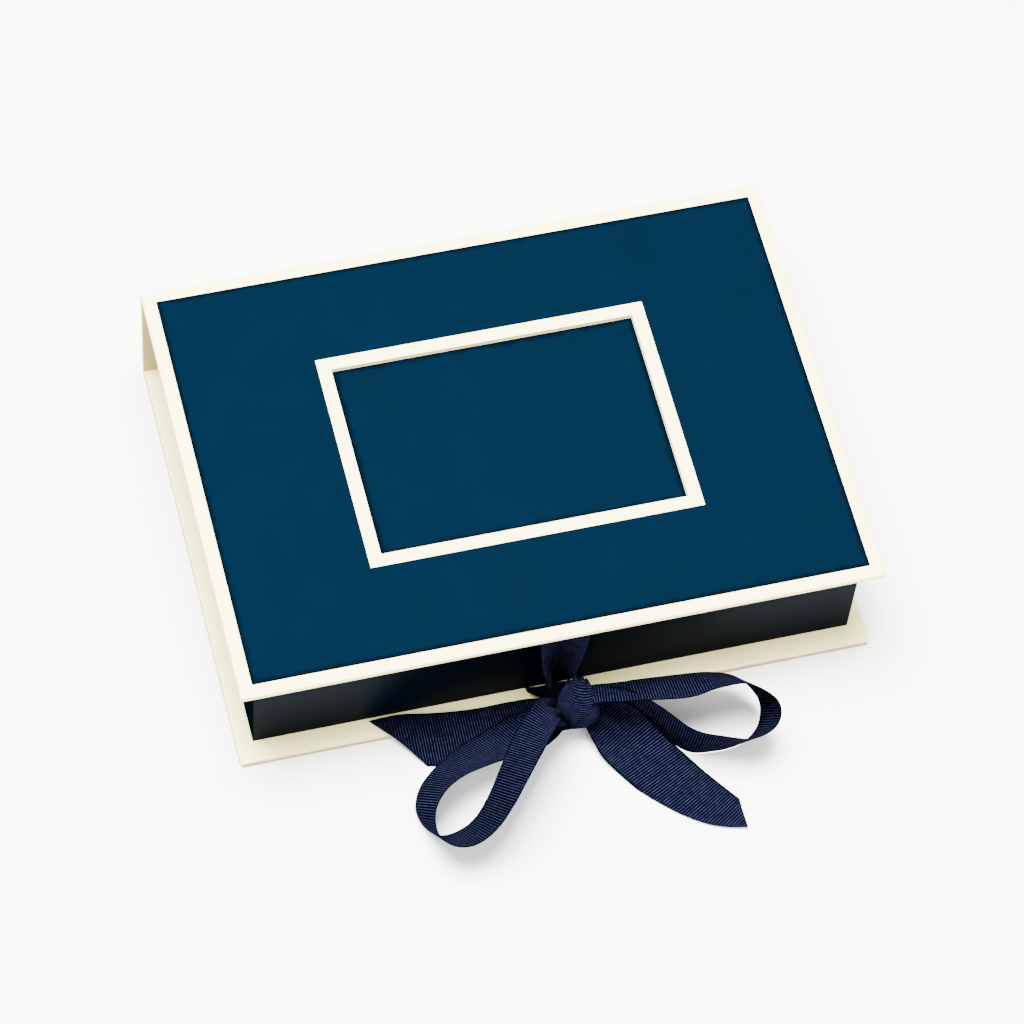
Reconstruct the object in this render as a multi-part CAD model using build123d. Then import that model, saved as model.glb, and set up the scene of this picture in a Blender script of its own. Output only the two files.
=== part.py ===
from build123d import *
import math
import os

# Photo box: a hinged board cover round a shallow tray, tied shut with a ribbon bow.
# Millimetres. X runs along the front, Y towards the spine, Z up.
# The origin is the middle of the base's underside, the face that the closed box rests on.

# The cover: three wrapped boards
cover_width = 270.0
cover_depth = 198.0
closed_height = 60.0
board = 2.4
paper = 0.2
turn_in = 15.0
corner_radius = 1.2
edge_radius = 0.5
wrapped = board + 2 * paper

# The folds that join the boards: a bead of cover paper across each gap
fold_radius = 0.25
fold_gap = 0.05
fold_reach = 0.15
fold_half = fold_radius + fold_gap

# The front edge carries the bow, so depths are counted back from it
front_y = -cover_depth / 2
fold_y = -front_y - fold_radius
back_y = fold_y - fold_reach
base_fold_z = wrapped + fold_half
lid_under_z = closed_height - wrapped
lid_fold_z = lid_under_z - fold_half

# The tray stands on the base board and carries the lid
tray_board = 2.0
tray_front_margin = 9.7
tray_side_margin = 7.2
spine_gap = 0.5
lid_gap = 0.3
rim_turn_in = 12.0
spine_inner_y = back_y - wrapped
tray_front_y = front_y + tray_front_margin
tray_back_y = spine_inner_y - spine_gap
tray_half_x = cover_width / 2 - tray_side_margin
tray_rim_z = lid_under_z - lid_gap

# The lid: a window board over a backing board, with a card in the recess
border = 5.6
window_width = 130.2
window_depth = 90.8
frame_border = 5.6
backing = 0.4
insert_clearance = 0.3
backing_under_z = lid_under_z + paper
backing_top_z = backing_under_z + backing
cover_top_z = closed_height - paper
window_board_top_z = cover_top_z - paper
insert_top_z = backing_top_z + paper

# The ribbon: one grosgrain strip glued under the lid, one under the tray, tied in a bow
ribbon_width = 25.0
ribbon_thickness = 0.5
tab_length = 8.0
tab_front = 1.0
glue = 0.1
gathered = 0.34
strand_gap = 0.4

# The knot: a band that bulges round gathered pleats, turned a little towards the left loop.
# The profile gives places along the knot with the share of its radii there.
knot_x = 5.0
knot_forward = 8.6
knot_z = 16.5
knot_length = 17.0
knot_radius_y = 7.0
knot_radius_z = 7.6
knot_turn = -20.0
band_step = 1.0
band_profile = [(-0.36, 0.84), (-0.2, 0.96), (0, 1), (0.2, 0.95), (0.36, 0.8)]


def block(x0, x1, y0, y1, z0, z1):
    """A box between two corners."""
    size = (x1 - x0, y1 - y0, z1 - z0)
    middle = ((x0 + x1) / 2, (y0 + y1) / 2, (z0 + z1) / 2)
    return Pos(*middle) * Box(*size)


def slab(half_x, y0, y1, z0, z1, radius, rounding):
    """A board with rounded corners and softened edges."""
    body = block(-half_x, half_x, y0, y1, z0, z1)
    body = fillet(body.edges().filter_by(Axis.Z), radius)
    rims = body.faces().sort_by(Axis.Z)[0].edges() + body.faces().sort_by(Axis.Z)[-1].edges()
    return fillet(rims, rounding)


def save(node, shape):
    shape.label = node
    export_step(shape, f"parts/{node}.step")


def base_board():
    inset = paper
    return slab(cover_width / 2 - inset, front_y + inset, back_y - inset, inset, inset + board,
                corner_radius, edge_radius)


def base_cover():
    """The paper under the base, round its edges and turned in on top."""
    outside = slab(cover_width / 2, front_y, back_y, 0, wrapped, corner_radius + paper, edge_radius + paper)
    bare = block(-cover_width / 2 + turn_in, cover_width / 2 - turn_in, front_y + turn_in, back_y - turn_in,
                 wrapped - paper, wrapped)
    return outside - base_board() - bare


def tray_walls():
    """The four wall boards: front and back run the full width, the sides fit between them."""
    outer_x = tray_half_x - paper
    y0 = tray_front_y + paper
    y1 = tray_back_y - paper
    z0 = wrapped
    z1 = tray_rim_z - paper
    return {
        "tray_front_wall": block(-outer_x, outer_x, y0, y0 + tray_board, z0, z1),
        "tray_back_wall": block(-outer_x, outer_x, y1 - tray_board, y1, z0, z1),
        "tray_left_wall": block(-outer_x, -outer_x + tray_board, y0 + tray_board, y1 - tray_board, z0, z1),
        "tray_right_wall": block(outer_x - tray_board, outer_x, y0 + tray_board, y1 - tray_board, z0, z1),
    }


def tray_ring(outer_inset, inner_inset, z0, z1):
    """A ring that follows the tray's walls, between two distances inside its outer face."""
    outer = block(-tray_half_x + outer_inset, tray_half_x - outer_inset,
                  tray_front_y + outer_inset, tray_back_y - outer_inset, z0, z1)
    inner = block(-tray_half_x + inner_inset, tray_half_x - inner_inset,
                  tray_front_y + inner_inset, tray_back_y - inner_inset, z0, z1)
    return outer - inner


def tray_floor():
    wall = paper + tray_board
    return block(-tray_half_x + wall, tray_half_x - wall, tray_front_y + wall, tray_back_y - wall,
                 wrapped, wrapped + tray_board)


def tray_cover():
    """The paper outside the walls, over the rim and turned in."""
    wall = paper + tray_board
    outside = tray_ring(0, paper, wrapped, tray_rim_z)
    rim = tray_ring(0, wall + paper, tray_rim_z - paper, tray_rim_z)
    inside = tray_ring(wall, wall + paper, tray_rim_z - rim_turn_in, tray_rim_z)
    return outside + rim + inside


def tray_lining():
    """The paper on the tray's floor and up its walls to the turned-in edge."""
    wall = paper + tray_board
    floor_z = wrapped + tray_board
    walls = tray_ring(wall, wall + paper, floor_z, tray_rim_z - rim_turn_in)
    floor = block(-tray_half_x + wall, tray_half_x - wall, tray_front_y + wall, tray_back_y - wall,
                  floor_z, floor_z + paper)
    return walls + floor


def fold_bead(z):
    """A bead of paper along a fold, as long as the cover is wide."""
    axis = Plane(origin=(-cover_width / 2, fold_y, z), z_dir=(1, 0, 0))
    return extrude(axis * Circle(fold_radius), cover_width)


def spine_pieces():
    """The spine board between its outer cover and its inner lining."""
    foot_z = base_fold_z + fold_half
    top_z = lid_fold_z - fold_half
    half_x = cover_width / 2
    return {
        "spine_board": block(-half_x, half_x, spine_inner_y + paper, back_y - paper, foot_z, top_z),
        "spine_cover": block(-half_x, half_x, back_y - paper, back_y, foot_z, top_z),
        "spine_lining": block(-half_x, half_x, spine_inner_y, spine_inner_y + paper, foot_z, top_z),
    }


def window(inset, z0, z1):
    """The window's outline, let in by a distance on every side, centred on the lid."""
    half_x = window_width / 2 + inset
    half_y = window_depth / 2 + inset
    lid_middle = (front_y + back_y) / 2
    return block(-half_x, half_x, lid_middle - half_y, lid_middle + half_y, z0, z1)


def lid_board():
    """The board and its backing as one outline, softened at the edges."""
    return slab(cover_width / 2 - paper, front_y + paper, back_y - paper, backing_under_z, window_board_top_z,
                corner_radius, edge_radius)


def lid_window_board():
    upper = block(-cover_width / 2, cover_width / 2, front_y, back_y, backing_top_z, closed_height)
    return (lid_board() & upper) - window(paper, backing_top_z, closed_height)


def lid_backing_board():
    lower = block(-cover_width / 2, cover_width / 2, front_y, back_y, lid_under_z, backing_top_z)
    return lid_board() & lower


def lid_cover():
    """The pale paper over the lid, round its edges, into the window and turned in underneath."""
    outside = slab(cover_width / 2, front_y, back_y, lid_under_z, cover_top_z,
                   corner_radius + paper, edge_radius + paper)
    bare = block(-cover_width / 2 + turn_in, cover_width / 2 - turn_in, front_y + turn_in, back_y - turn_in,
                 lid_under_z, backing_under_z)
    hole = window(paper, backing_top_z, closed_height)
    sleeve = window(paper, backing_top_z, cover_top_z) - window(0, backing_top_z, cover_top_z)
    return outside - lid_board() - bare - hole + sleeve


def lid_panel():
    """The blue sheet on the lid, inside the pale border and round the pale window frame."""
    sheet = block(-cover_width / 2 + border, cover_width / 2 - border, front_y + border, back_y - border,
                  cover_top_z, closed_height)
    return sheet - window(frame_border, cover_top_z, closed_height)


def lid_insert():
    return window(-insert_clearance, backing_top_z, insert_top_z)


def lid_lining():
    return block(-cover_width / 2 + turn_in, cover_width / 2 - turn_in, front_y + turn_in, back_y - turn_in,
                 lid_under_z, backing_under_z)


def ribbon_strip(stations):
    """A strip of ribbon lofted along its stations.

    A station is the place of one edge, counted in ribbon widths, then the heading and tilt in degrees
    of the way across to the other edge, and the share of the ribbon's width that it spans.
    The place is measured from the box's front edge straight below the knot, where forward is negative.
    """
    edges = []
    for x, y, z, heading, tilt, share in stations:
        start = Vector(knot_x, front_y, 0) + Vector(x, y, z) * ribbon_width
        level = math.cos(math.radians(tilt))
        across = Vector(level * math.cos(math.radians(heading)), level * math.sin(math.radians(heading)),
                        math.sin(math.radians(tilt)))
        edges.append((start, start + across * (ribbon_width * share)))
    middles = [(start + end) * 0.5 for start, end in edges]
    sections = []
    for i, (start, end) in enumerate(edges):
        travel = middles[min(i + 1, len(middles) - 1)] - middles[max(i - 1, 0)]
        lift = (end - start).cross(travel).normalized() * (ribbon_thickness / 2)
        sections.append(make_face(Polyline(start - lift, end - lift, end + lift, start + lift, close=True)))
    return loft(sections)


def left_loop():
    """Out of the knot's front, round on the table, and back behind the knot."""
    return ribbon_strip([
        (-0.32, -0.24, 0.62, -65, 38, 0.42),
        (-0.76, -0.24, 0.74, -65, 45, 1),
        (-1.2, -0.76, 0.8, -61, 43, 1),
        (-1.56, -1.28, 0.78, -64, 47, 1),
        (-1.86, -1.66, 0.56, -68, 49, 1),
        (-2.14, -1.88, 0.3, -73, 49, 1),
        (-2.44, -1.94, 0.1, -79, 48, 1),
        (-2.72, -1.9, 0.02, -84, 52, 1),
        (-2.92, -1.72, 0.06, -82, 56, 1),
        (-3, -1.44, 0.18, -70, 57, 1),
        (-2.86, -1.12, 0.26, -62, 53, 1),
        (-2.54, -0.82, 0.27, -62, 47, 1),
        (-2.08, -0.52, 0.22, -65, 38, 1),
        (-1.58, -0.3, 0.18, -69, 32, 1),
        (-1.08, -0.1, 0.18, -73, 34, 1),
        (-0.56, 0.06, 0.24, -79, 38, 0.9),
        (-0.26, -0.16, 0.52, -85, 40, 0.4),
    ])


def right_loop():
    """Out of the knot's top, round above the table, and back under the right tail."""
    return ribbon_strip([
        (0.08, -0.2, 0.64, -104, 44, 0.42),
        (0.44, 0.04, 0.54, -103, 42, 1),
        (0.92, 0, 0.55, -100, 40, 1),
        (1.76, -0.16, 0.61, -97, 39, 1),
        (2.28, -0.21, 0.58, -96, 46, 1),
        (2.72, -0.35, 0.5, -91, 54, 1),
        (3, -0.68, 0.31, -80, 59, 1),
        (3, -0.96, 0.17, -73, 60, 1),
        (2.84, -1.2, 0.07, -74, 62, 1),
        (2.52, -1.36, 0.02, -78, 67, 1),
        (2.1, -1.39, 0.02, -80, 76, 1),
        (1.64, -1.28, 0.03, -84, 83, 1),
        (1.16, -0.72, 0.06, -78, 82, 1),
        (0.68, -0.28, 0.16, -78, 80, 0.8),
        (0.16, -0.24, 0.42, -75, 78, 0.3),
    ])


def left_tail():
    """Under the left loop, over the base's front edge, to a slanting cut."""
    return ribbon_strip([
        (-0.1, -0.3, 0.45, -90, 0, 0.36),
        (-0.56, 0.12, 0.16, -88, -2, 0.85),
        (-1, 0.17, 0.15, -90, -4, 1),
        (-1.64, 0.16, 0.17, -91, -8, 1),
        (-2.28, 0.22, 0.19, -91, -9, 1),
        (-2.84, 0.32, 0.19, -77, -9, 1),
        (-3.36, 0.34, 0.18, -53, -8, 1.12),
    ])


def right_tail():
    """Over the right loop's lower arm and out along the table to a blunt point."""
    return ribbon_strip([
        (-0.04, -0.5, 0.48, 0, 0, 0.34),
        (0.14, -0.78, 0.22, 18, 24, 0.8),
        (0.26, -1.12, 0.1, 13, 26, 1),
        (0.46, -1.48, 0.04, 16, 20, 1),
        (0.7, -1.84, 0.02, 21, 9, 1),
        (1, -2.2, 0.02, 24, 3, 0.96),
        (1.36, -2.5, 0.02, 28, 1, 0.84),
        (1.76, -2.72, 0.02, 38, 0, 0.66),
        (2.25, -2.9, 0.02, 91, 0, 0.55),
    ])


def ribbon_knot():
    """The pleats gathered inside the knot, and the band that bulges round them."""
    pleats_y = knot_radius_y - band_step
    pleats_z = knot_radius_z - band_step
    pleats = scale(Sphere(1), by=(knot_length / 2, pleats_y, pleats_z))
    rings = []
    for place, share in band_profile:
        ring = Plane.YZ.offset(knot_length * place)
        rings.append(ring * Ellipse(knot_radius_y * share, knot_radius_z * share))
    return Pos(knot_x, front_y - knot_forward, knot_z) * Rot(0, 0, knot_turn) * (pleats + loft(rings))


def strand(points):
    """A strand square to the front and centred on the knot, through places (depth, height, share of width)."""
    return ribbon_strip([
        (-share / 2, y / ribbon_width, z / ribbon_width, 0, 0, share) for y, z, share in points
    ])


def base_ribbon():
    """From under the tray's front wall, forward over the base and up into the knot."""
    root_y = tray_front_margin - strand_gap / 2
    floor_z = wrapped + ribbon_thickness / 2 + glue
    return strand([
        (root_y, floor_z, 1),
        (root_y - 3, floor_z + 0.3, 0.98),
        (2, floor_z + 2.4, 0.7),
        (-2.4, knot_z - knot_radius_z * 0.8, 0.42),
        (-knot_forward / 2, knot_z - knot_radius_z * 0.4, gathered),
    ])


def lid_ribbon():
    """A tab glued under the lid's front edge, and the strand that hangs from it to the knot."""
    half = ribbon_width / 2
    tab_under_z = lid_under_z - ribbon_thickness
    tab = block(knot_x - half, knot_x + half, front_y + tab_front, front_y + tab_front + tab_length,
                tab_under_z, lid_under_z)
    drop = tab_under_z - knot_z - knot_radius_z - strand_gap
    hang = strand([
        (tab_front + 4.5, tab_under_z + 0.1, 1),
        (tab_front + 3.8, tab_under_z - drop * 0.1, 0.98),
        (tab_front + 1.5, tab_under_z - drop * 0.38, 0.8),
        (-knot_forward * 0.4, tab_under_z - drop * 0.72, 0.5),
        (-knot_forward + 1, tab_under_z - drop, gathered),
    ])
    return tab + hang


os.makedirs("parts", exist_ok=True)

pieces = {
    "base_board": base_board(),
    "base_cover": base_cover(),
    "base_fold": fold_bead(base_fold_z),
    "tray_floor": tray_floor(),
    "tray_cover": tray_cover(),
    "tray_lining": tray_lining(),
    "lid_fold": fold_bead(lid_fold_z),
    "lid_window_board": lid_window_board(),
    "lid_backing_board": lid_backing_board(),
    "lid_cover": lid_cover(),
    "lid_panel": lid_panel(),
    "lid_insert": lid_insert(),
    "lid_lining": lid_lining(),
    "lid_ribbon": lid_ribbon(),
    "base_ribbon": base_ribbon(),
    "ribbon_knot": ribbon_knot(),
    "ribbon_loop_left": left_loop(),
    "ribbon_loop_right": right_loop(),
    "ribbon_tail_left": left_tail(),
    "ribbon_tail_right": right_tail(),
}
pieces.update(tray_walls())
pieces.update(spine_pieces())

for node, shape in pieces.items():
    save(node, shape)
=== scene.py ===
import bisect
import math
import bmesh
import bpy
from mathutils import Matrix, Vector


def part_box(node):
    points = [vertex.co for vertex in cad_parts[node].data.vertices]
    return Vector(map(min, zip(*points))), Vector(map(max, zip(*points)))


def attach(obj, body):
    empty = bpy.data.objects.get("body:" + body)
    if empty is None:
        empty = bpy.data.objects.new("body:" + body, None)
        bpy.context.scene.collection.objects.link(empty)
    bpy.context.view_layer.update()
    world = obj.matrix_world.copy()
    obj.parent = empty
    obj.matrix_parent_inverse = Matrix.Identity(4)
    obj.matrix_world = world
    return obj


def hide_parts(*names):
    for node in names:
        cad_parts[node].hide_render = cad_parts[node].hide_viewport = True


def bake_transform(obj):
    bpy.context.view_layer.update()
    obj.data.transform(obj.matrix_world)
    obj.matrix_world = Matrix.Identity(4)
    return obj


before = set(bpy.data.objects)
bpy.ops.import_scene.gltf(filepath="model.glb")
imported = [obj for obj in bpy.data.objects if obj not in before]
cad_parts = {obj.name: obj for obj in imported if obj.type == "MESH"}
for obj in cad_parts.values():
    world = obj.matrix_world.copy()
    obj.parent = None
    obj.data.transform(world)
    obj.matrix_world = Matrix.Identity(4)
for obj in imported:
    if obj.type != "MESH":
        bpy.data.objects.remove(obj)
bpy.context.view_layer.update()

# The camera: a long lens high in front of the box and a little to its left, rolled a few degrees,
# at the place that the edges of the lid and base give.
mm = 0.001
lid_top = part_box("lid_panel")[1].z
azimuth = math.radians(-19.564)
elevation = math.radians(59.424)
roll = math.radians(6.323)
aim = Vector((0, 0, lid_top))
distance = 1865.7 * mm
slide_right = -1.37 * mm
slide_up = 33.33 * mm
back = Vector((math.sin(azimuth) * math.cos(elevation), -math.cos(azimuth) * math.cos(elevation),
               math.sin(elevation)))
level = Vector((math.cos(azimuth), math.sin(azimuth), 0))
rise = back.cross(level)
cam_x = math.cos(roll) * level + math.sin(roll) * rise
cam_y = back.cross(cam_x)
lens = bpy.data.cameras.new("camera")
lens.lens = 158.24
lens.sensor_width = 36
lens.clip_start = 0.05
lens.clip_end = 20
camera = bpy.data.objects.new("camera", lens)
turned = Matrix((cam_x, cam_y, back)).transposed().to_4x4()
eye = aim + back * distance - cam_x * slide_right - cam_y * slide_up
camera.matrix_world = Matrix.Translation(eye) @ turned
bpy.context.scene.collection.objects.link(camera)
bpy.context.scene.camera = camera


# The table and the light: a plain white table, a broad soft lamp straight overhead, a weak one in
# front, and a dim even sky, so that each thing stands in a soft close shadow of its own.
def finished(name, shape, material, smooth):
    """The piece that a shape gives: a mesh in its material, put into the scene."""
    mesh = bpy.data.meshes.new(name)
    shape.to_mesh(mesh)
    shape.free()
    for face in mesh.polygons:
        face.use_smooth = smooth
    mesh.materials.append(material)
    piece = bpy.data.objects.new(name, mesh)
    bpy.context.scene.collection.objects.link(piece)
    return piece


white = bpy.data.materials.new("white_table")
white.use_nodes = True
white.node_tree.nodes["Principled BSDF"].inputs["Base Color"].default_value = (0.95, 0.95, 0.95, 1)
white.node_tree.nodes["Principled BSDF"].inputs["Roughness"].default_value = 0.9
floor_half = 4
floor_below = 0.2 * mm
sheet = bmesh.new()
bmesh.ops.create_grid(sheet, x_segments=1, y_segments=1, size=floor_half)
bmesh.ops.translate(sheet, vec=(0, 0, -floor_below), verts=sheet.verts)
finished("floor", sheet, white, smooth=False)

world = bpy.data.worlds.new("studio")
world.use_nodes = True
world.node_tree.nodes["Background"].inputs["Color"].default_value = (1, 1, 1, 1)
world.node_tree.nodes["Background"].inputs["Strength"].default_value = 1.4
bpy.context.scene.world = world


def softbox(name, place, size, power):
    """A square lamp that faces the box."""
    lamp = bpy.data.lights.new(name, "AREA")
    lamp.shape = "SQUARE"
    lamp.size = size
    lamp.energy = power
    box = bpy.data.objects.new(name, lamp)
    box.location = place
    box.rotation_euler = (aim - Vector(place)).to_track_quat("-Z", "Y").to_euler()
    bpy.context.scene.collection.objects.link(box)


softbox("overhead", (-0.25, 0.18, 2.25), size=1.2, power=490)
softbox("front", (0.2, -1.6, 1.3), size=1.0, power=36)


# Greyboard: every stiff part of the box is cut from it. It is made of mixed waste fibre,
# so its raw surface is warm grey with darker and lighter flecks.
def new_material(name):
    """A material with its shader and the place on the piece that its patterns start from."""
    made = bpy.data.materials.new(name)
    made.use_nodes = True
    tree = made.node_tree
    where = tree.nodes.new("ShaderNodeTexCoord")
    return made, tree, tree.nodes["Principled BSDF"], where.outputs["Object"]


def noise(tree, where, scale, detail, rough=0.6):
    """A cloud pattern with so many lumps to the metre."""
    cloud = tree.nodes.new("ShaderNodeTexNoise")
    cloud.inputs["Scale"].default_value = scale
    cloud.inputs["Detail"].default_value = detail
    cloud.inputs["Roughness"].default_value = rough
    tree.links.new(where, cloud.inputs["Vector"])
    return cloud.outputs["Fac"]


def ramp(tree, source, stops):
    """Colours spread over a pattern from 0 to 1."""
    band = tree.nodes.new("ShaderNodeValToRGB")
    band.color_ramp.elements[0].position = stops[0][0]
    band.color_ramp.elements[0].color = (*stops[0][1], 1)
    band.color_ramp.elements[1].position = stops[-1][0]
    band.color_ramp.elements[1].color = (*stops[-1][1], 1)
    for place, colour in stops[1:-1]:
        band.color_ramp.elements.new(place).color = (*colour, 1)
    tree.links.new(source, band.inputs["Fac"])
    return band.outputs["Color"]


def bump(tree, shader, height, depth):
    """A relief so many metres deep."""
    relief = tree.nodes.new("ShaderNodeBump")
    relief.inputs["Strength"].default_value = 1
    relief.inputs["Distance"].default_value = depth
    tree.links.new(height, relief.inputs["Height"])
    tree.links.new(relief.outputs["Normal"], shader.inputs["Normal"])


greyboard, tree, shader, where = new_material("greyboard")
flecks = noise(tree, where, scale=900, detail=6, rough=0.75)
tree.links.new(ramp(tree, flecks, [(0.3, (0.20, 0.18, 0.15)), (0.55, (0.33, 0.30, 0.25)),
                                   (0.75, (0.45, 0.42, 0.36))]), shader.inputs["Base Color"])
bump(tree, shader, flecks, 0.08 * mm)
shader.inputs["Roughness"].default_value = 0.9


def dress(material, slot, *names):
    """Gives solids of the frame their material. The slot is not used."""
    for name in names:
        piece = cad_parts[name]
        piece.data.materials.clear()
        piece.data.materials.append(material)


dress(greyboard, "greyboard", "base_board", "tray_floor", "tray_front_wall", "tray_back_wall",
      "tray_left_wall", "tray_right_wall", "spine_board", "lid_window_board", "lid_backing_board")


# The cream cover: one sheet of uncoated paper round the base, the spine and the lid, glued down
# flat and turned in. Its fibres give it a fine tooth and a slight unevenness of tone.
def math_node(tree, operation, a, b=None):
    """One step of arithmetic on patterns. Each value is a number or another step's output."""
    made = tree.nodes.new("ShaderNodeMath")
    made.operation = operation
    for socket, value in zip(made.inputs, (a, b)):
        if isinstance(value, (int, float)):
            socket.default_value = value
        elif value is not None:
            tree.links.new(value, socket)
    return made.outputs[0]


def paper(name, light, dark, roughness, shine, tooth, edges=()):
    """A paper with fibre flecks, slow clouds of tone and a fine tooth. Each of the edges is a
    sheet's box, a colour and a width: painted shade, as the tone fades to that colour near the sheet's
    outline."""
    fibre_scale, cloud_scale, ragged_scale = 1400, 35, 250
    off_layer_weight = 50
    made, tree, shader, where = new_material(name)
    fibre = noise(tree, where, fibre_scale, detail=4, rough=0.7)
    clouds = noise(tree, where, cloud_scale, detail=3)
    tone = math_node(tree, "ADD", math_node(tree, "MULTIPLY", fibre, 0.5),
                     math_node(tree, "MULTIPLY", clouds, 0.5))
    colour = ramp(tree, tone, [(0.35, dark), (0.65, light)])
    at = tree.nodes.new("ShaderNodeSeparateXYZ")
    tree.links.new(where, at.inputs[0])
    # Painted shade: near each sheet's outline the colour fades to a darker one, standing in for shade along
    # its edges.
    for (low, high), painted_shade_colour, width in edges:
        beyond = []
        for axis, middle, half in zip("XYZ", (low + high) / 2, (high - low) / 2):
            off = math_node(tree, "ABSOLUTE", math_node(tree, "SUBTRACT", at.outputs[axis], middle))
            beyond.append(math_node(tree, "SUBTRACT", off, half))
        from_outline = math_node(tree, "ABSOLUTE", math_node(tree, "MAXIMUM", beyond[0], beyond[1]))
        off_layer = math_node(tree, "MULTIPLY", math_node(tree, "MAXIMUM", beyond[2], 0.0), off_layer_weight)
        ragged = noise(tree, where, ragged_scale, detail=4)
        reach = math_node(tree, "MULTIPLY", ragged, width * 2)
        fade = tree.nodes.new("ShaderNodeMapRange")
        tree.links.new(math_node(tree, "ADD", from_outline, off_layer), fade.inputs["Value"])
        tree.links.new(reach, fade.inputs["From Max"])
        fade.inputs["To Min"].default_value = 1
        fade.inputs["To Max"].default_value = 0
        mix = tree.nodes.new("ShaderNodeMix")
        mix.data_type = "RGBA"
        first, second = [socket for socket in mix.inputs if socket.type == "RGBA"]
        tree.links.new(fade.outputs["Result"], mix.inputs["Factor"])
        tree.links.new(colour, first)
        second.default_value = (*painted_shade_colour, 1)
        colour = next(socket for socket in mix.outputs if socket.type == "RGBA")
    tree.links.new(colour, shader.inputs["Base Color"])
    bump(tree, shader, fibre, tooth)
    shader.inputs["Roughness"].default_value = roughness
    shader.inputs["Specular IOR Level"].default_value = shine
    return made


# Painted shade: a dark band over the base cover's edge faces stands in for the contact shadow along the
# table, and a faint band runs along the lid cover's edges.
cream = paper("cream_paper", light=(0.96, 0.88, 0.43), dark=(0.93, 0.85, 0.39),
              roughness=0.75, shine=0.15, tooth=0.03 * mm,
              edges=[(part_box("base_cover"), (0.30, 0.25, 0.12), 0.5 * mm),
                     (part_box("lid_cover"), (0.80, 0.72, 0.36), 0.8 * mm)])
dress(cream, "cream_paper", "base_cover", "spine_cover", "lid_cover")
# The lining is the same cream paper given a darker tan: painted shade for the shadow inside the spine and
# under the lid.
lining = paper("lining_paper_painted_shade", light=(0.39, 0.29, 0.13), dark=(0.35, 0.255, 0.11),
               roughness=0.8, shine=0.15, tooth=0.03 * mm)
dress(lining, "inner_paper", "spine_lining", "lid_lining")

# The spine's ends: the cover paper is turned in over both ends of the spine board, so that no
# raw board shows there. It is the same cream paper, pressed round the corners and glued.
turn_in_thickness = 0.2 * mm
turn_in_corner = 0.3 * turn_in_thickness
turn_in_over = 0.18 * mm


def turned_in_end(name, side):
    """The cover where it is turned in over one end of the spine, with its corners rounded off."""
    low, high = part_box("spine_board")
    size = (turn_in_thickness, high.y - low.y + 2 * turn_in_over, high.z - low.z)
    place = (side * (high.x + turn_in_corner), (low.y + high.y) / 2, (low.z + high.z) / 2)
    end = bmesh.new()
    bmesh.ops.create_cube(end, size=1)
    bmesh.ops.scale(end, vec=size, verts=end.verts)
    bmesh.ops.bevel(end, geom=end.edges[:], offset=turn_in_corner, segments=2, affect="EDGES")
    bmesh.ops.translate(end, vec=place, verts=end.verts)
    piece = finished(name, end, cream, smooth=False)
    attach(piece, "spine")


turned_in_end("spine_end_left", -1)
turned_in_end("spine_end_right", 1)

# The folds: at each hinge the cover paper runs on across the gap, with a soft bead outside where
# it creases, and a strip of lining closes the gap inside.
base_low, base_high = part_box("base_cover")
paper_thickness = 0.12 * mm


def curve_through(points, place):
    """A smooth curve through all the points, at a place counted in points."""
    last = len(points) - 1
    i = min(int(place), last - 1)
    t = place - i
    a, b, c, d = points[max(i - 1, 0)], points[i], points[i + 1], points[min(i + 2, last)]
    return 0.5 * (2 * b + (c - a) * t + (2 * a - 5 * b + 4 * c - d) * t * t
                  + (3 * b - a - 3 * c + d) * t ** 3)


def fold_strip(name, places, material, node):
    """A paper strip as wide as the box over a row of (depth, height) places in mm, bent between
    two bodies."""
    points = [Vector((0, y * mm, z * mm)) for y, z in places]
    rows = 6 * (len(points) - 1)
    strip = bmesh.new()
    bmesh.ops.create_grid(strip, x_segments=36, y_segments=rows, size=0.5)
    for vert in strip.verts:
        x = vert.co.x * (base_high.x - base_low.x)
        vert.co = curve_through(points, (vert.co.y + 0.5) * (len(points) - 1))
        vert.co.x = x
    bmesh.ops.solidify(strip, geom=strip.faces[:], thickness=paper_thickness)
    bmesh.ops.recalc_face_normals(strip, faces=strip.faces)
    piece = finished(name, strip, material, smooth=True)
    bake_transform(piece)
    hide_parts(node)


back_face = base_high.y / mm
base_top = base_high.z / mm
spine_foot, spine_top = (corner.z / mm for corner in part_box("spine_cover"))
lid_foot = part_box("lid_cover")[0].z / mm
inner_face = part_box("spine_lining")[0].y / mm


def cover_bend(lower, upper):
    """The way of the cover paper past the gap between two edges, with its bead, from below."""
    return [(back_face + 0.02, lower - 1.6), (back_face + 0.04, lower - 0.6), (back_face + 0.26, lower),
            (back_face + 0.36, lower + 0.3), (back_face + 0.26, upper), (back_face + 0.04, upper + 0.6),
            (back_face + 0.02, upper + 1.6)]


def lining_bend(face, up):
    """The way of the lining from the face of the base or the lid on to the inside of the spine."""
    return [(back_face - 0.4, face + 0.1 * up), (back_face - 1.4, face + 0.14 * up),
            (inner_face + 0.1, face + 0.18 * up), (inner_face - 0.1, face + 0.5 * up),
            (inner_face - 0.08, face + 1.8 * up)]


fold_strip("base_fold_outside", cover_bend(base_top, spine_foot), cream,
           "base_fold")
fold_strip("base_fold_inside", lining_bend(base_top, 1), lining,
           "base_fold")
fold_strip("lid_fold_outside", cover_bend(spine_top, lid_foot), cream,
           "lid_fold")
fold_strip("lid_fold_inside", lining_bend(lid_foot, -1)[::-1], lining,
           "lid_fold")

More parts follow.
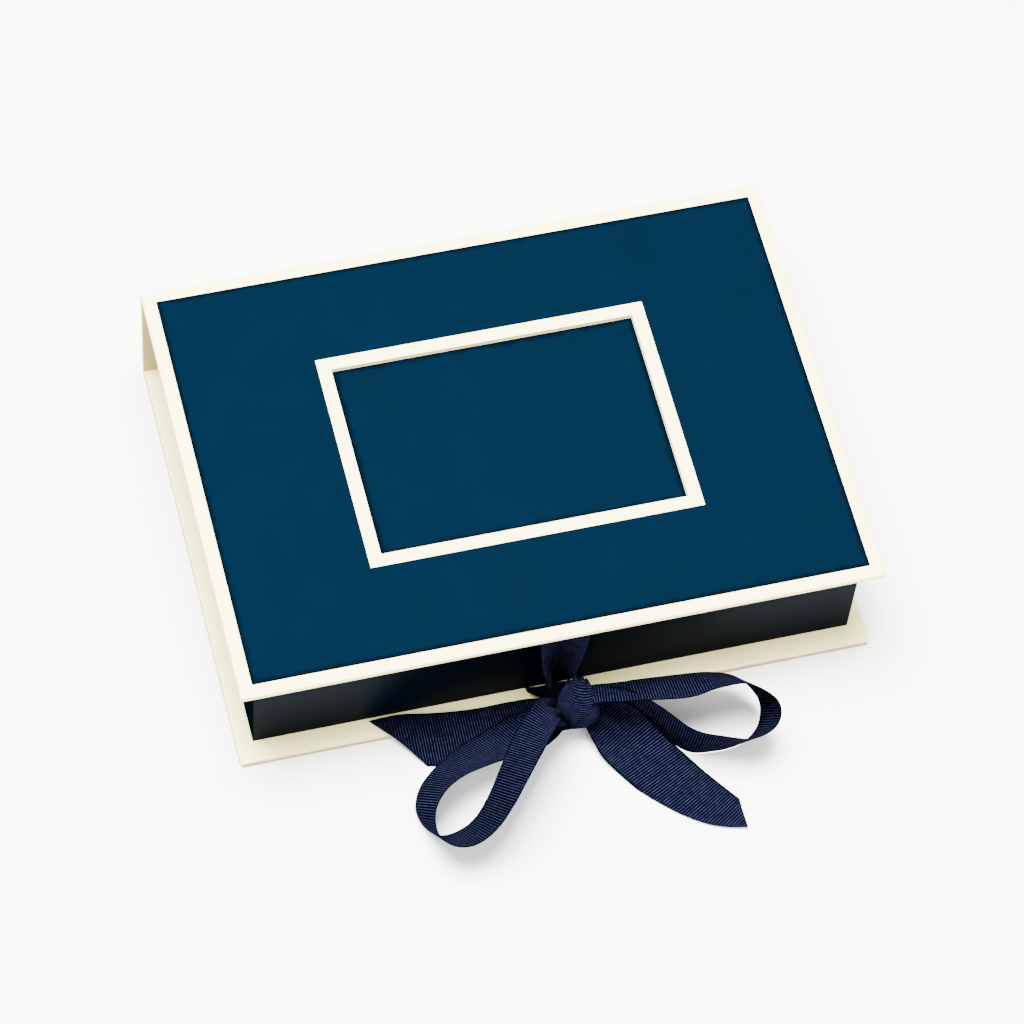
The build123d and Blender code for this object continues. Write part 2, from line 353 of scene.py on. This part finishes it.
# The tray's paper: dark navy, outside the walls, over the rim and inside. Its surface is satin
# along the front and the back, and dull on the end walls.
satin = 0.010
navy = paper("tray_paper", light=(0.0003, 0.0013, 0.0035), dark=(0.0002, 0.0010, 0.0027),
             roughness=0.42, shine=satin, tooth=0.012 * mm)
shader = navy.node_tree.nodes["Principled BSDF"]
shader.inputs["Specular Tint"].default_value = (0.15, 0.55, 1.0, 1)
tree = navy.node_tree
at = tree.nodes.new("ShaderNodeSeparateXYZ")
tree.links.new(tree.nodes.new("ShaderNodeTexCoord").outputs["Object"], at.inputs[0])
end_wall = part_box("tray_cover")[1].x - 0.2 * mm
short_of_end = math_node(tree, "SUBTRACT", end_wall, math_node(tree, "ABSOLUTE", at.outputs["X"]))
tree.links.new(math_node(tree, "MULTIPLY", math_node(tree, "GREATER_THAN", short_of_end, 0.0), satin),
               shader.inputs["Specular IOR Level"])
dress(navy, "tray_paper", "tray_cover", "tray_lining")

# The blue sheet on the lid and the bare card in its window: matt and deep teal blue. Both are
# glued down. The tone deepens along their cut edges: painted shade at the sheet's edges, and on the card the
# painted shadow of the window's wall.
blue = paper("blue_paper", light=(0.0001, 0.0040, 0.0101), dark=(0.0001, 0.0034, 0.0087),
             roughness=0.7, shine=0.005, tooth=0.02 * mm,
             edges=[(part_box("lid_panel"), (0.0001, 0.0007, 0.0018), 2.4 * mm),
                    (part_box("lid_insert"), (0.0001, 0.0007, 0.0018), 2.8 * mm)])
dress(blue, "blue_paper", "lid_panel", "lid_insert")

# The ribbon: grosgrain, woven flat with thick weft cords under a fine warp, so that it has ribs
# straight across and a plain edge on each side. Each length is woven flat, cut, and then bent
# along its stations. The dye is indigo, with a painted highlight on the crest of each rib and painted
# shade in the hollows between them.
front_y = base_low.y
knot_x = 5 * mm
ribbon_width = 25 * mm
ribbon_thickness = 0.3 * mm
rib_pitch = 1.15 * mm
rib_height = 0.2 * mm
selvedge = 0.8 * mm
warp_angle_per_mm = 14.0
wear_share = 0.2
selvedge_share = 0.16
# How finely a ribbon is divided: rows in each rib, columns across, and samples from one station to
# the next. Then the share of an arch that counts for the ribbon's length, the depth of its pleats,
# and how far an arch takes them out.
rib_rows = 6
columns = 24
samples_between = 24
crown_share = 0.67
fold_depth = 0.225
pleat_fade = 1.4

grosgrain, tree, shader, where = new_material("grosgrain")
weave_map = tree.nodes.new("ShaderNodeUVMap")
weave_map.uv_map = "weave"
weave = tree.nodes.new("ShaderNodeSeparateXYZ")
tree.links.new(weave_map.outputs["UV"], weave.inputs[0])
rib_phase = math_node(tree, "FRACT", math_node(tree, "DIVIDE", weave.outputs["Y"], rib_pitch / mm))
off_crest = math_node(tree, "ABSOLUTE", math_node(tree, "SUBTRACT", rib_phase, 0.5))
off_middle = math_node(tree, "ABSOLUTE", weave.outputs["X"])
in_selvedge = math_node(tree, "GREATER_THAN", off_middle, (ribbon_width / 2 - selvedge) / mm)
warp_angle = math_node(tree, "MULTIPLY", weave.outputs["X"], warp_angle_per_mm)
threads = math_node(tree, "SINE", warp_angle)
wear = noise(tree, where, scale=500, detail=4)
tone = math_node(tree, "ADD", off_crest, math_node(tree, "MULTIPLY", wear, wear_share))
tone = math_node(tree, "ADD", tone, math_node(tree, "MULTIPLY", in_selvedge, selvedge_share))
# Painted highlight and shade: the colour is lightest on the crest of each rib and near black in the hollows
# between ribs, over the indigo of the dye.
dye_and_painted_rib_light = ramp(tree, tone, [(0.08, (0.033, 0.036, 0.058)), (0.17, (0.0060, 0.0075, 0.0200)),
                        (0.27, (0.0004, 0.0008, 0.0062)), (0.40, (0.0001, 0.0002, 0.0016))])
tree.links.new(dye_and_painted_rib_light, shader.inputs["Base Color"])
bump(tree, shader, threads, 0.015 * mm)
shader.inputs["Roughness"].default_value = 0.8
shader.inputs["Specular IOR Level"].default_value = 0


def station(x, y, z, heading, tilt, share=1.0, arch=0.0):
    """Both edges of the ribbon at one place, in ribbon widths from the front edge below the knot.
    Heading and tilt in degrees point across to the other edge. Where the share is under 1 the rest
    of the width goes into pleats, or into one arch of that strength."""
    edge = Vector((knot_x, front_y, 0)) + Vector((x, y, z)) * ribbon_width
    level = math.cos(math.radians(tilt))
    across = Vector((level * math.cos(math.radians(heading)), level * math.sin(math.radians(heading)),
                     math.sin(math.radians(tilt))))
    return edge, edge + across * ribbon_width * share, share, arch


def woven(length, cuts, pitch):
    """A flat ribbon with its middle along Y, cut off along lines. A cut is a point, in ribbon widths
    from the middle of the far end, and the direction of the side that falls away."""
    rows = rib_rows * round(length / pitch)
    flat = bmesh.new()
    bmesh.ops.create_grid(flat, x_segments=columns, y_segments=rows, size=0.5)
    bmesh.ops.scale(flat, vec=(ribbon_width, length, 1), verts=flat.verts)
    bmesh.ops.translate(flat, vec=(0, length / 2, 0), verts=flat.verts)
    for x, y, away_x, away_y in cuts:
        bmesh.ops.bisect_plane(flat, geom=flat.verts[:] + flat.edges[:] + flat.faces[:],
                               plane_co=(x * ribbon_width, length + y * ribbon_width, 0),
                               plane_no=(away_x, away_y, 0), clear_outer=True)
    bmesh.ops.solidify(flat, geom=flat.faces[:], thickness=ribbon_thickness)
    layer = flat.loops.layers.uv.new("weave")
    for face in flat.faces:
        for loop in face.loops:
            loop[layer].uv = (loop.vert.co.x / mm, loop.vert.co.y / pitch * rib_pitch / mm)
    return flat


def arch_rise(share, arch):
    """How far the middle of an arched ribbon stands off the line between its edges."""
    return arch * math.sqrt(max(0.0, 1 - min(share, 1.0))) * 0.5 * ribbon_width


def bent_ribbon(name, stations, body, node, pleats=2, turn=0.0, cuts=(), held="gathered", rests_on=(),
                lead=0.0, skew=0.0, squeeze=1.0):
    """Weaves a ribbon as long as its stations, bends it along them and adds the ribs. Lead pushes the
    middle of each rib on, and skew one edge, as fabric that is pulled over a round thing goes.
    Squeeze is how close the ribs stand where the ribbon is pressed together along its length."""
    just_short = 0.99999
    pitch = rib_pitch * squeeze
    steps = samples_between * (len(stations) - 1)
    samples = []
    for i in range(steps + 1):
        place = (len(stations) - 1) * i / steps
        samples.append([curve_through([s[part] for s in stations], place) for part in range(4)])
    middles = [(start + end) / 2 for start, end, share, arch in samples]
    normals = []
    crowns = []
    for i, (start, end, share, arch) in enumerate(samples):
        forward = (middles[min(i + 2, steps)] - middles[max(i - 2, 0)]).normalized()
        normals.append(forward.cross(end - start).normalized())
        crowns.append(middles[i] + normals[i] * arch_rise(share, arch) * crown_share)
    run = [0.0]
    for i in range(steps):
        run.append(run[-1] + (crowns[i + 1] - crowns[i]).length)
    length = run[-1]
    strip = woven(length, cuts, pitch)
    face_z = 0.5 * (min(v.co.z for v in strip.verts) + max(v.co.z for v in strip.verts))
    for vert in strip.verts:
        u = vert.co.x / ribbon_width + 0.5
        s = min(max(vert.co.y, 0), length)
        pushed = (lead * 4 * u * (1 - u) + skew * u) * ribbon_width * math.sin(math.pi * s / length)
        s = min(s + pushed, length * just_short)
        i = bisect.bisect_right(run, s) - 1
        t = (s - run[i]) / (run[i + 1] - run[i])
        start, end, share, arch = (samples[i][part] * (1 - t) + samples[i + 1][part] * t for part in range(4))
        normal = normals[i].lerp(normals[i + 1], t).normalized()
        spare = math.sqrt(max(0.0, 1 / min(share, 1.0) ** 2 - 1))
        wave = fold_depth * share * spare / pleats * ribbon_width
        swing = wave * math.cos(2 * math.pi * pleats * u + turn) * max(0.0, 1 - pleat_fade * abs(arch))
        swing += arch_rise(share, arch) * (1 - (2 * u - 1) ** 2)
        in_from_edge = min(u, 1 - u) * ribbon_width
        plain = min(1.0, max(0.0, in_from_edge / selvedge - 0.5))
        phase = (vert.co.y / pitch) % 1.0
        cord = rib_height * squeeze * 2 * math.sqrt(phase * (1 - phase)) * plain
        side = 1 if vert.co.z > face_z else -1
        skin = side * (ribbon_thickness - rib_height + cord) / 2
        vert.co = start.lerp(end, u) + normal * (swing + skin)
    bmesh.ops.recalc_face_normals(strip, faces=strip.faces)
    piece = finished(name, strip, grosgrain, smooth=True)
    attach(piece, body)
    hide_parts(node)


# The lid's ribbon: one end is glued under the lid's front edge. It drops in front of the tray,
# gathers as it goes, with both edges folded forward, and ends close behind the knot.
lid_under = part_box("lid_cover")[0].z - ribbon_thickness
drop = (lid_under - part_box("lid_ribbon")[0].z) / ribbon_width
hang_z = lid_under / ribbon_width
bent_ribbon("strand_lid", [station(*s) for s in (
    (-0.7, 0.38, hang_z, 0, 0),
    (-0.69, 0.2, hang_z - 0.01, 0, 0, 0.97),
    (-0.67, 0.12, hang_z - 0.1, 0, 0, 0.88),
    (-0.64, 0.1, hang_z - drop * 0.36, 0, 0, 0.79),
    (-0.6, 0.1, hang_z - drop * 0.66, 3, 4, 0.69),
    (-0.54, 0.08, hang_z - drop * 0.9, 6, 8, 0.57),
    (-0.47, 0.04, hang_z - drop * 1.08, 8, 12, 0.48))],
    "lid", "lid_ribbon", pleats=1, held="hung", rests_on=["lid_cover"])

# The base's ribbon: the other end, glued to the base under the tray's front wall, comes forward
# over the cover and climbs into the knot from behind.
cover_z = base_high.z / ribbon_width
bent_ribbon("strand_base", [station(*s) for s in (
    (-0.69, 0.37, cover_z + 0.02, 0, 0, 0.99),
    (-0.67, 0.26, cover_z + 0.03, 0, 0, 0.96),
    (-0.6, 0.12, cover_z + 0.1, 0, 0, 0.86),
    (-0.46, -0.02, 0.28, 0, 0, 0.66),
    (-0.3, -0.13, 0.42, 0, 0, 0.46),
    (-0.18, -0.2, 0.54, 0, 0, 0.34))],
    "base", "base_ribbon", held="laid", rests_on=["base_cover"])

# The left tail: under the left loop, over the base's front edge and down towards the table,
# cut off on a slant.
bent_ribbon("tail_left", [station(*s) for s in (
    (-0.14, -0.26, 0.5, -88, 0, 0.36),
    (-0.56, 0.12, 0.16, -88, -2, 0.85, 0.3),
    (-1.0, 0.17, 0.15, -90, -5, 0.97, 0.6),
    (-1.64, 0.16, 0.17, -91, -9, 0.96, 0.6),
    (-2.28, 0.22, 0.18, -91, -10, 0.93, 0.6),
    (-2.88, 0.32, 0.18, -91, -11, 0.92, 0.6),
    (-3.42, 0.31, 0.17, -91, -11, 0.92, 0.6))],
    "base", "ribbon_tail_left", cuts=[(-0.5, -0.04, 0.62, 0.78), (0.5, -0.86, 1, 0.05)],
    held="laid", rests_on=["base_cover"])

# The left loop: the same ribbon, out of the knot's front, over its own lower arm, round on the
# table and back. It stands on one edge, and only the knot's grip holds it.
bent_ribbon("loop_left", [station(*s) for s in (
    (-0.1, -0.2, 0.4, -92, 4, 0.4),
    (-0.3, -0.17, 0.44, -90, 12, 0.56),
    (-0.48, -0.16, 0.64, -87, 32, 0.88),
    (-0.7, -0.22, 0.76, -77, 38),
    (-1.2, -0.76, 0.8, -63, 43),
    (-1.56, -1.28, 0.78, -64, 47),
    (-1.86, -1.66, 0.56, -68, 49),
    (-2.14, -1.88, 0.3, -73, 49),
    (-2.44, -1.94, 0.1, -79, 48),
    (-2.72, -1.9, 0.02, -84, 52),
    (-2.92, -1.72, 0.06, -82, 56),
    (-3.0, -1.44, 0.18, -70, 57),
    (-2.86, -1.12, 0.26, -62, 53),
    (-2.54, -0.82, 0.27, -62, 47),
    (-2.08, -0.52, 0.22, -65, 38),
    (-1.58, -0.3, 0.18, -69, 32),
    (-1.08, -0.1, 0.18, -73, 34),
    (-0.56, 0.02, 0.24, -79, 34, 0.8),
    (-0.26, -0.18, 0.46, -85, 20, 0.4))],
    "base", "ribbon_loop_left", rests_on=["tail_left"])

# The right loop: the same ribbon, out of the knot's top, round above the table, and back under the
# right tail. It stands on one edge too, and is held by the knot alone.
bent_ribbon("loop_right", [station(*s) for s in (
    (0.08, -0.16, 0.62, -104, 30, 0.44, -0.5),
    (0.28, -0.08, 0.57, -105, 38, 0.70, -0.6),
    (0.50, -0.02, 0.53, -105, 42, 0.92, -0.6),
    (0.98, -0.06, 0.54, -101, 42),
    (1.76, -0.16, 0.61, -97, 39),
    (2.28, -0.21, 0.58, -96, 46),
    (2.72, -0.35, 0.5, -91, 54),
    (3.0, -0.68, 0.31, -80, 59),
    (3.0, -0.96, 0.17, -73, 60),
    (2.84, -1.2, 0.07, -74, 62),
    (2.52, -1.36, 0.02, -78, 67),
    (2.1, -1.39, 0.02, -80, 76),
    (1.64, -1.28, 0.03, -84, 83),
    (1.16, -0.72, 0.06, -78, 82),
    (0.68, -0.28, 0.16, -78, 80, 0.8),
    (0.16, -0.24, 0.42, -75, 78, 0.3))],
    "base", "ribbon_loop_right", pleats=3, rests_on=["tail_right"])


# The right tail: the same ribbon, over the right loop's lower arm and out along the table. Its end
# is cut on a slant, and its long side on a curve.
def curved_side(*points):
    """The cuts that give a ribbon the outline through these points, in widths from the far end."""
    corners = [Vector(point) for point in points]
    cuts_between = 4
    places = [i / cuts_between for i in range(cuts_between * (len(corners) - 1) + 1)]
    line = [curve_through(corners, place) for place in places]
    cuts = []
    for a, b in zip(line, line[1:]):
        away = Vector((a.y - b.y, b.x - a.x)).normalized()
        cuts.append((a.x, a.y, away.x, away.y))
    return cuts


bent_ribbon("tail_right", [station(*s) for s in (
    (0.0, -0.42, 0.5, 20, 28, 0.46),
    (0.06, -0.62, 0.36, 24, 20, 0.66),
    (0.14, -0.84, 0.22, 24, 22, 0.88),
    (0.25, -1.14, 0.1, 24, 22),
    (0.46, -1.48, 0.04, 18, 20),
    (0.7, -1.84, 0.02, 22, 10),
    (0.95, -2.2, 0.02, 26, 4),
    (1.2, -2.56, 0.02, 29, 3),
    (1.44, -2.9, 0.02, 31, 3),
    (1.74, -3.3, 0.02, 32, 3))],
    "base", "ribbon_tail_right", held="laid", rests_on=["floor"],
    cuts=[(0.5, -0.54, 0.825, 0.564)] + curved_side(
        (-0.5, -1.76), (-0.44, -1.37), (-0.35, -0.98), (-0.21, -0.61), (-0.03, -0.32), (0.2, -0.06)))

# The knot: a band of the same ribbon, pulled over the gathered ends of both loops. It bulges like
# a small pillow, its ribs sag into arcs, and it goes under between the tails.
knot_middle = Vector((knot_x + 0.4 * mm, front_y - 8.5 * mm, 17.5 * mm))


def wrap(name, turned, rounds, **bend):
    """A ribbon bent round the knot. Each round is an angle up from the front, the depth and height
    of the edges' curve, a share of the width, an arch and a shift sideways, in mm and degrees."""
    along = Vector((math.cos(math.radians(turned)), math.sin(math.radians(turned)), 0))
    ahead = Vector((along.y, -along.x, 0))
    places = []
    for angle, deep, high, share, arch, side in rounds:
        at = math.radians(angle)
        middle = knot_middle + ahead * (math.cos(at) * deep * mm) + Vector((0, 0, math.sin(at) * high * mm))
        middle += along * (side * mm)
        edge = middle - along * (ribbon_width * share / 2)
        places.append((edge, edge + along * ribbon_width * share, share, arch))
    bent_ribbon(name, places, "base", "ribbon_knot", held="folded", **bend)


wrap("knot_band", -20, [(176, 6.6, 8, 0.28, 0, -2.2), (150, 7.4, 10, 0.28, 0, -1.8),
                        (116, 6.8, 9.2, 0.42, 0.4, -1.2), (80, 5.6, 7, 0.66, 0.68, -0.6),
                        (42, 5.2, 5.6, 0.75, 0.76, -0.2), (4, 5.4, 5.4, 0.75, 0.76, 0),
                        (-32, 5.6, 5.8, 0.62, 0.7, 0.8), (-66, 5.8, 6.2, 0.44, 0.5, 1.6),
                        (-100, 5.6, 6, 0.3, 0, 2)], pleats=3, lead=0.14, skew=0.09, squeeze=0.78)

# The tuck: the part of the ribbon that the band is pulled over, drawn round below the knot. It is
# the same grosgrain, folded small.
bent_ribbon("knot_tuck", [station(*s) for s in (
    (0.2, -0.46, 0.56, -90, -70, 0.4),
    (0.0, -0.48, 0.66, -90, -74, 0.44),
    (-0.18, -0.46, 0.68, -88, -74, 0.46),
    (-0.34, -0.4, 0.6, -84, -70, 0.46),
    (-0.5, -0.32, 0.48, -80, -66, 0.42))],
    "base", "ribbon_knot", turn=math.pi, held="folded")
